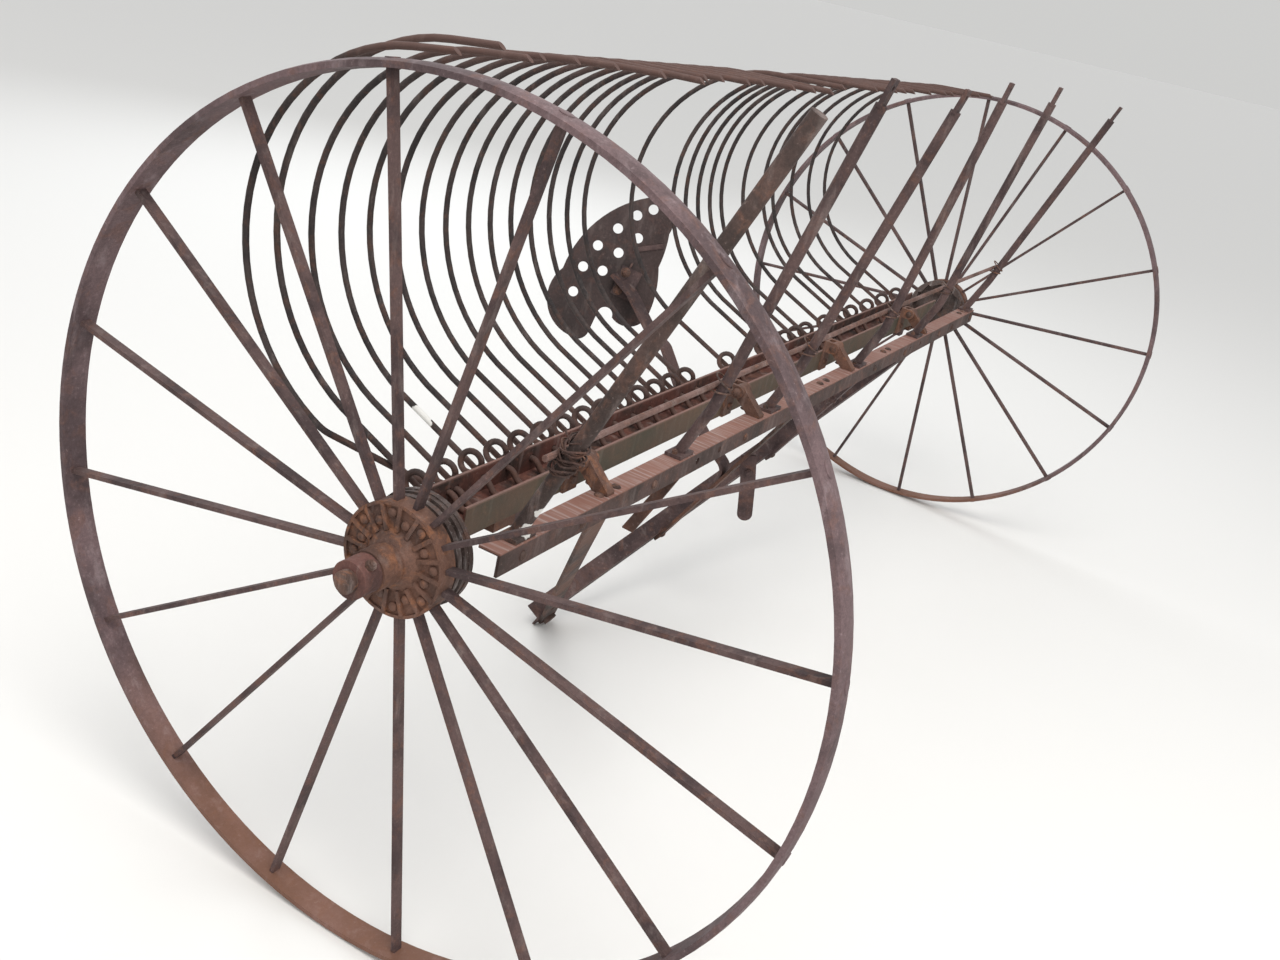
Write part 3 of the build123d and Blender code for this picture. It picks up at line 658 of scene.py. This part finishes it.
def hound_point(across, down, lift):
    """Point on the sloping plane of the hounds."""
    return Vector((across, HOUND_TOP_Y + down * HOUND_COS + lift * HOUND_SIN,
                   HOUND_TOP_Z - down * HOUND_SIN + lift * HOUND_COS))


def bolt_frame():
    """Bolts and rivets of the front bar, the rod feet, the hounds and the hinge straps."""
    bolts = []
    for x, beside, below in BAR_BOLTS:
        for shift in beside:
            nut_spot = (x + shift * below, BAR_NUT_Y, BAR_NUT_Z)
            bolts.append(set_at("bar rivet", (x + shift, BAR_BOLT_Y, BAR_TOP)))
            bolts.append(set_at("bar nut", nut_spot, (0, 0, -1), random.random()))
    for x, *_ in RODS:
        for shift in (-FOOT_BOLT, FOOT_BOLT):
            bolts.append(set_at("foot nut", (x + shift, BAR_MID_Y, FOOT_TOP), (0, 0, 1), random.random()))
    for x in FACE_RIVETS:
        spot = (x, BAR_FRONT_Y, FACE_RIVET_Z + random.uniform(-FACE_RIVET_STRAY, FACE_RIVET_STRAY))
        bolts.append(set_at("bar rivet", spot, (0, -1, 0)))
    for across, down in HOUND_BOLTS:
        bolts.append(set_at("hound nut", hound_point(across, down, 0.006), HOUND_OUT, 0.3))
        bolts.append(set_at("bar rivet", hound_point(across, down, -0.008), -HOUND_OUT))
    for x in HINGES:
        bolts.append(set_at("strap rivet", (x, STRAP_RIVET_Y, STRAP_TOP), (0, -0.2, 1)))
    dress(weld(bolts), "frame_bolts", "frame", FITTING)


def pin_hinges():
    """Heads of the hinge pins on both sides of each lug, and the nut that holds the lug."""
    pins = []
    for x in HINGES:
        for way in (-1, 1):
            pins.append(set_at("bar rivet", (x + way * PIN_HEAD_OUT, PIN_Y, PIN_Z), (way, 0, 0)))
        pins.append(set_at("lug nut", (x, LUG_NUT_Y, LUG_NUT_Z), (0, -1, 0), random.random()))
    dress(weld(pins), "hinge_pin_heads", "head", FITTING)


# Cleaner rods: where their straight part starts, and where the tie rod crosses it
ROD_START_Y = -0.165
ROD_START_UP = 0.160
TIE_RISE = 0.045
TIE_Z = AXLE_Z + 0.205
TIE_BEHIND = 0.0058
CLIP_STEPS = 24
CLIP_WIRE = 0.0018
# How much wider than the rod a clip is beside it and behind it, and how it is spread and slanted along the rod
CLIP_BESIDE = 0.0022
CLIP_BEHIND = 0.0086
CLIP_SPREAD = 0.011
CLIP_SLANT = 0.006


def clip_tie_rod():
    """Two wire clips at each cleaner rod that hold the tie rod against it."""
    clips = []
    for x, tip_y, tip_height, radius, flat in RODS:
        run = tip_height - flat - ROD_START_UP
        lean = Vector((0, tip_y - ROD_START_Y, run)).normalized()
        middle = Vector((x, ROD_START_Y + TIE_RISE / run * (tip_y - ROD_START_Y) + TIE_BEHIND, TIE_Z))
        deep = lean.cross(ACROSS).normalized()
        for way in (-1, 1):
            loop = []
            for step in range(CLIP_STEPS):
                turn = 2 * pi * step / CLIP_STEPS
                around = ACROSS * cos(turn) * (radius + CLIP_BESIDE) + deep * sin(turn) * (radius + CLIP_BEHIND)
                loop.append(middle + around + lean * way * (CLIP_SPREAD + CLIP_SLANT * sin(turn)))
            clips.append(wire(loop, CLIP_WIRE, ring_points=8, closed=True))
    dress(weld(clips), "tie_rod_clips", "frame", FITTING)


WRAP_SPOT = Vector((-1.355, -0.184, TIE_Z))
WRAP_LEAN = (0, -0.258, 0.601)
WRAP_STRANDS = 4
WRAP_STEPS = 56
WRAP_TURN_STEPS = 18
WRAP_WIRE = 0.0017
WRAP_RADIUS = 0.0152
WRAP_LAYER = 0.0019
WRAP_HALF = 0.030
# The wire stands off the rod and strays along it by these waves
WRAP_LOOSE = 0.0026
WRAP_STRAY = 0.006


def wind_wire():
    """Wire wound loosely round the first rod and the end of the tie rod, with its ends bent out."""
    wraps = []
    lean = Vector(WRAP_LEAN).normalized()
    deep = lean.cross(ACROSS)
    for strand in range(WRAP_STRANDS):
        loop = []
        phase = random.uniform(0, 2 * pi)
        for step in range(WRAP_STEPS + 1):
            turn = phase + 2 * pi * step / WRAP_TURN_STEPS
            spread = WRAP_RADIUS + WRAP_LOOSE * sin(step * 0.55 + strand) + strand * WRAP_LAYER
            along = -WRAP_HALF + 2 * WRAP_HALF * step / WRAP_STEPS + WRAP_STRAY * sin(step * 0.7 + 2 * strand)
            loop.append(WRAP_SPOT + ACROSS * cos(turn) * spread + deep * sin(turn) * spread + lean * along)
        tail = Vector((0.018 - 0.012 * strand, 0.012, 0.028 - 0.016 * strand))
        loop.append(loop[-1] + tail * 0.5 + Vector((0, 0.005, 0.004)))
        loop.append(loop[-2] + tail)
        wraps.append(wire(loop, WRAP_WIRE, ring_points=6))
    dress(weld(wraps), "wire_wrap", "frame", WRAP, 60)


STRAP_PATH = ((-0.690, -0.118, 0.7490), (-0.722, -0.119, 0.7440), (-0.800, -0.098, 0.662), (-0.867, -0.080, 0.598))
STRAP_WIDE = (0.16, 0.90, 0.10)
BRACKET_PATH = ((0.196, -0.132, 0.7490), (0.196, -0.108, 0.7490), (0.196, -0.094, 0.700), (0.196, -0.080, 0.640))
LUG_TIP = Vector((0.020, 0.000, 0.335))
LUG_PATH = ((-0.004, 0.022, 0.500), (0.008, 0.010, 0.425), LUG_TIP)
LUG_WIDE = Vector((0.41, -0.91, 0.0))
LUG_FLAT = Vector((0.91, 0.41, 0.0))


def hang_straps():
    """Strap and bracket that hang from under the bar, and the lug on an arm of the centre brace."""
    strap = flat_strap(rounded(STRAP_PATH, 0.02), width=0.024, thick=0.006, wide=STRAP_WIDE)
    strap = weld([strap, set_at("bar nut", (-0.700, -0.118, 0.7450), (0, 0, -1), 0.4)])
    dress(strap, "hanging_strap", "frame", NEAR_HOUND)

    bracket = flat_strap(rounded(BRACKET_PATH, 0.014), width=0.036, thick=0.006, wide=ACROSS)
    bracket = weld([bracket, set_at("hound nut", (0.196, -0.0865, 0.655), (0, -1, -0.22), 0.2),
                    set_at("bar nut", (0.196, -0.0805, 0.655), (0, 1, 0.22), 0.7)])
    dress(bracket, "hanging_bracket", "frame", FAR_HOUND)

    lug = flat_strap(LUG_PATH, width=0.040, thick=0.008, wide=LUG_WIDE)
    lug = weld([lug, set_at("lug end", LUG_TIP - LUG_FLAT * 0.004, LUG_FLAT),
                set_at("bar nut", (-0.001, 0.012, 0.455), -LUG_FLAT, 0.3)])
    dress(lug, "pedal_lug", "frame", FAR_HOUND)


# Seat pan: its own three directions, the bend across it and the dish along it
LONG = Vector((0.306, -0.101, 0.947)).normalized()
SIDE = Vector((0.406, -0.886, -0.226))
SIDE = (SIDE - LONG * SIDE.dot(LONG)).normalized()
OUT = LONG.cross(SIDE)
SEAT_CENTRE = Vector((0.012, 0.539, AXLE_Z + 0.126))
SEAT_BEND = 0.300
SEAT_THICK = 0.0037
SEAT_DISH = 0.010
SEAT_HALF = 0.21
# Sheet that the seat is cut from: middle and span along, in metres, and across, in radians of the bend
SHEET_ALONG = (0.005, 0.47)
SHEET_ACROSS = (0.03, 1.10)
SHEET_CELLS = (44, 40)
CUTTER_START = 0.15
CUTTER_HEIGHT = 0.4
SEAT_OUTLINE = (
    # end of the edge and the point that its arc passes, in millimetres along and across
    ((-50, -108), (98, -78)), ((-203, -20), (-165, -98)), ((-172, 24), (-198, 12)), ((-110, 24), None),
    ((-112, 64), (-93, 44)), ((-64, 150), (-117, 112)), ((60, 120), (0, 142)), ((150, 108), (108, 117)),
    ((210, 18), (212, 78)),
)
SEAT_HOLES = ((188, 43), (156, 11), (104, 38), (104, -20), (48, 8), (42, -49), (-12, -10), (-24, -61), (-94, -57))
HOLE_RADIUS = 13
HOLE_STEPS = 28
# The cleat's bolts, the raised bar and the thin brace: metres along, across and from the line of bend
CLEAT_BOLTS = (-0.040, 0.010)
CLEAT_ACROSS = 0.045
CLEAT_NUT_RADIUS = 0.3123
CLEAT_RIVET_RADIUS = 0.2960
RIDGE_FROM = (0.0707, 0.0392)
RIDGE_TO = (0.1152, 0.1074)
RIDGE_RADIUS = 0.3008
RIDGE_STEPS = 6
BRACE_WIRE = 0.003
BRACE = ((-0.036, 0.0400, 0.299), (-0.030, 0.0410, 0.3055), (0.033, 0.0515, 0.3055), (0.039, 0.0525, 0.299))


def seat_point(along, across, radius):
    """Point of the bent sheet; radius is its distance from the line of bend."""
    turn = asin(across / SEAT_BEND)
    return SEAT_CENTRE + LONG * along + SIDE * radius * sin(turn) + OUT * (SEAT_BEND - radius * cos(turn))


def seat_normal(across):
    """Way out of the seat's underside."""
    turn = asin(across / SEAT_BEND)
    return (SIDE * sin(turn) - OUT * cos(turn)).normalized()


def dish_at(along):
    """How far the ends of the seat curl up."""
    return SEAT_DISH * (along / SEAT_HALF) ** 2


def arc_points(start, via, end, steps=14):
    """Points after start on the arc through three points."""
    (ax, ay), (bx, by), (cx, cy) = start, via, end
    double = 2 * (ax * (by - cy) + bx * (cy - ay) + cx * (ay - by))
    one, two, three = ax * ax + ay * ay, bx * bx + by * by, cx * cx + cy * cy
    mx = (one * (by - cy) + two * (cy - ay) + three * (ay - by)) / double
    my = (one * (cx - bx) + two * (ax - cx) + three * (bx - ax)) / double
    radius = hypot(ax - mx, ay - my)
    first, middle, last = (atan2(y - my, x - mx) for x, y in (start, via, end))
    ahead = (last - first) % (2 * pi)
    if (middle - first) % (2 * pi) > ahead:
        ahead -= 2 * pi
    turns = [first + ahead * step / steps for step in range(1, steps + 1)]
    return [(mx + radius * cos(turn), my + radius * sin(turn)) for turn in turns]


def tall_cutter(outline):
    """Tall block with the given outline in the plane of the seat."""
    block = begin(bpy.ops.mesh.primitive_circle_add, vertices=len(outline), radius=0.1, fill_type="NGON")
    for point, (along, across) in zip(block.data.vertices, outline):
        point.co = SEAT_CENTRE + LONG * along / 1000 + SIDE * across / 1000 - OUT * CUTTER_START
    select_mesh()
    bpy.ops.mesh.extrude_region_move(TRANSFORM_OT_translate={"value": OUT * CUTTER_HEIGHT})
    bpy.ops.object.mode_set(mode="OBJECT")
    face_outwards(block)
    return block


def press_seat():
    """Seat pan: a bent and dished sheet with two lobes at its edge and round holes."""
    outline = []
    corner = SEAT_OUTLINE[-1][0]
    for edge_end, via in SEAT_OUTLINE:
        outline += arc_points(corner, via, edge_end) if via else [edge_end]
        corner = edge_end
    cutters = [tall_cutter(outline)]
    turns = [2 * pi * step / HOLE_STEPS for step in range(HOLE_STEPS)]
    for along, across in SEAT_HOLES:
        ring = [(along + HOLE_RADIUS * cos(turn), across + HOLE_RADIUS * sin(turn)) for turn in turns]
        cutters.append(tall_cutter(ring))

    sheet = begin(bpy.ops.mesh.primitive_grid_add, x_subdivisions=SHEET_CELLS[0], y_subdivisions=SHEET_CELLS[1], size=1)
    for point in sheet.data.vertices:
        along = SHEET_ALONG[0] + SHEET_ALONG[1] * point.co.x
        turn = SHEET_ACROSS[0] + SHEET_ACROSS[1] * point.co.y
        point.co = (SEAT_CENTRE + LONG * along + SIDE * SEAT_BEND * sin(turn)
                    + OUT * (SEAT_BEND * (1 - cos(turn)) + dish_at(along)))
    press(sheet, "SOLIDIFY", thickness=SEAT_THICK, offset=1.0)
    face_outwards(sheet)
    for number, cutter in enumerate(cutters):
        press(sheet, "BOOLEAN", operation="DIFFERENCE" if number else "INTERSECT", solver="EXACT", object=cutter)
        bpy.data.objects.remove(cutter)
    dress(sheet, "seat_sheet", "frame", SEAT, 35)
    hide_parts("seat_pan")


def fit_seat():
    """Nuts and rivets of the cleat under the seat, the raised bar across it and the thin brace beside the cleat."""
    nuts = []
    out = seat_normal(CLEAT_ACROSS)
    for along in CLEAT_BOLTS:
        nuts.append(set_at("seat nut", seat_point(along, CLEAT_ACROSS, CLEAT_NUT_RADIUS), out, 0.4 + along))
        nuts.append(set_at("bar rivet", seat_point(along, CLEAT_ACROSS, CLEAT_RIVET_RADIUS), -out))
    dress(weld(nuts), "seat_nuts", "frame", FITTING)

    ridge = []
    for step in range(RIDGE_STEPS + 1):
        along, across = (low + (high - low) * step / RIDGE_STEPS for low, high in zip(RIDGE_FROM, RIDGE_TO))
        ridge.append(seat_point(along, across, RIDGE_RADIUS) + OUT * dish_at(along))
    ridge = flat_strap(ridge, width=0.013, thick=0.006, wide=LONG)
    brace = wire(rounded([seat_point(*place) for place in BRACE], 0.004), BRACE_WIRE, ring_points=8)
    dress(weld([ridge, brace]), "seat_bar", "frame", FAR_HOUND)


hang_teeth()
for wheel in WHEELS:
    fit_wheel(wheel)
bolt_frame()
pin_hinges()
clip_tie_rod()
wind_wire()
hang_straps()
press_seat()
fit_seat()
for model in MODELS.values():
    bpy.data.objects.remove(model)

# Pale floor, soft light and the camera
FLOOR_TONE = (0.72, 0.71, 0.69, 1)
SKY_TONE = (0.86, 0.87, 0.88, 1)
# What the camera sees behind the floor has the floor's own tone, so that no horizon shows
BACKDROP_TONE = (0.62, 0.62, 0.61, 1)
LAMPS = (
    # name, place, point that it shines at, size, power, tone
    ("key", (-2.6, -1.2, 5.2), (0, 0, 0.7), 3.6, 200, (1.0, 0.98, 0.95)),
    ("fill", (3.5, 3.8, 3.6), (0, 0, 0.6), 4.0, 90, (0.92, 0.96, 1.0)),
    ("front", (-5.0, -4.5, 2.6), (0, 0, 0.6), 3.0, 75, (1.0, 0.98, 0.96)),
)
CAMERA_PLACE = (-2.864, -0.975, 1.603)
CAMERA_RIGHT = Vector((0.4764, -0.8535, 0.2113))
CAMERA_UP = Vector((0.2445, 0.3594, 0.9006))
CAMERA_AHEAD = Vector((0.8446, 0.3777, -0.3799))

floor_material = bpy.data.materials.new("pale floor")
floor_material.use_nodes = True
floor_shader = floor_material.node_tree.nodes["Principled BSDF"]
floor_shader.inputs["Base Color"].default_value = FLOOR_TONE
floor_shader.inputs["Roughness"].default_value = 0.9
floor = begin(bpy.ops.mesh.primitive_plane_add, size=600, location=(0, 0, -0.0005))
floor.name = "floor"
floor.data.materials.append(floor_material)

world = bpy.context.scene.world or bpy.data.worlds.new("studio")
bpy.context.scene.world = world
world.use_nodes = True
sky_tree = world.node_tree
sky = sky_tree.nodes["Background"]
sky.inputs["Color"].default_value = SKY_TONE
sky.inputs["Strength"].default_value = 1.0
backdrop = add_node(sky_tree, "Background", {"Color": BACKDROP_TONE})
seen = add_node(sky_tree, "LightPath", {}).outputs["Is Camera Ray"]
choice = add_node(sky_tree, "MixShader", {0: seen, 1: sky.outputs[0], 2: backdrop.outputs[0]})
sky_tree.links.new(choice.outputs[0], sky_tree.nodes["World Output"].inputs["Surface"])

for name, place, target, size, power, tone in LAMPS:
    light = bpy.data.lights.new(name, "AREA")
    light.shape = "DISK"
    light.size = size
    light.energy = power
    light.color = tone
    lamp = bpy.data.objects.new(name, light)
    bpy.context.scene.collection.objects.link(lamp)
    lamp.location = place
    lamp.rotation_euler = (Vector(target) - Vector(place)).to_track_quat("-Z", "Y").to_euler()

camera_data = bpy.data.cameras.new("camera")
camera_data.lens = 35.27
camera_data.sensor_width = 36
camera = bpy.data.objects.new("camera", camera_data)
bpy.context.scene.collection.objects.link(camera)
facing = Matrix((CAMERA_RIGHT, CAMERA_UP, -CAMERA_AHEAD)).transposed().to_4x4()
camera.matrix_world = Matrix.Translation(CAMERA_PLACE) @ facing
bpy.context.scene.camera = camera
bpy.context.scene.view_settings.view_transform = "Standard"
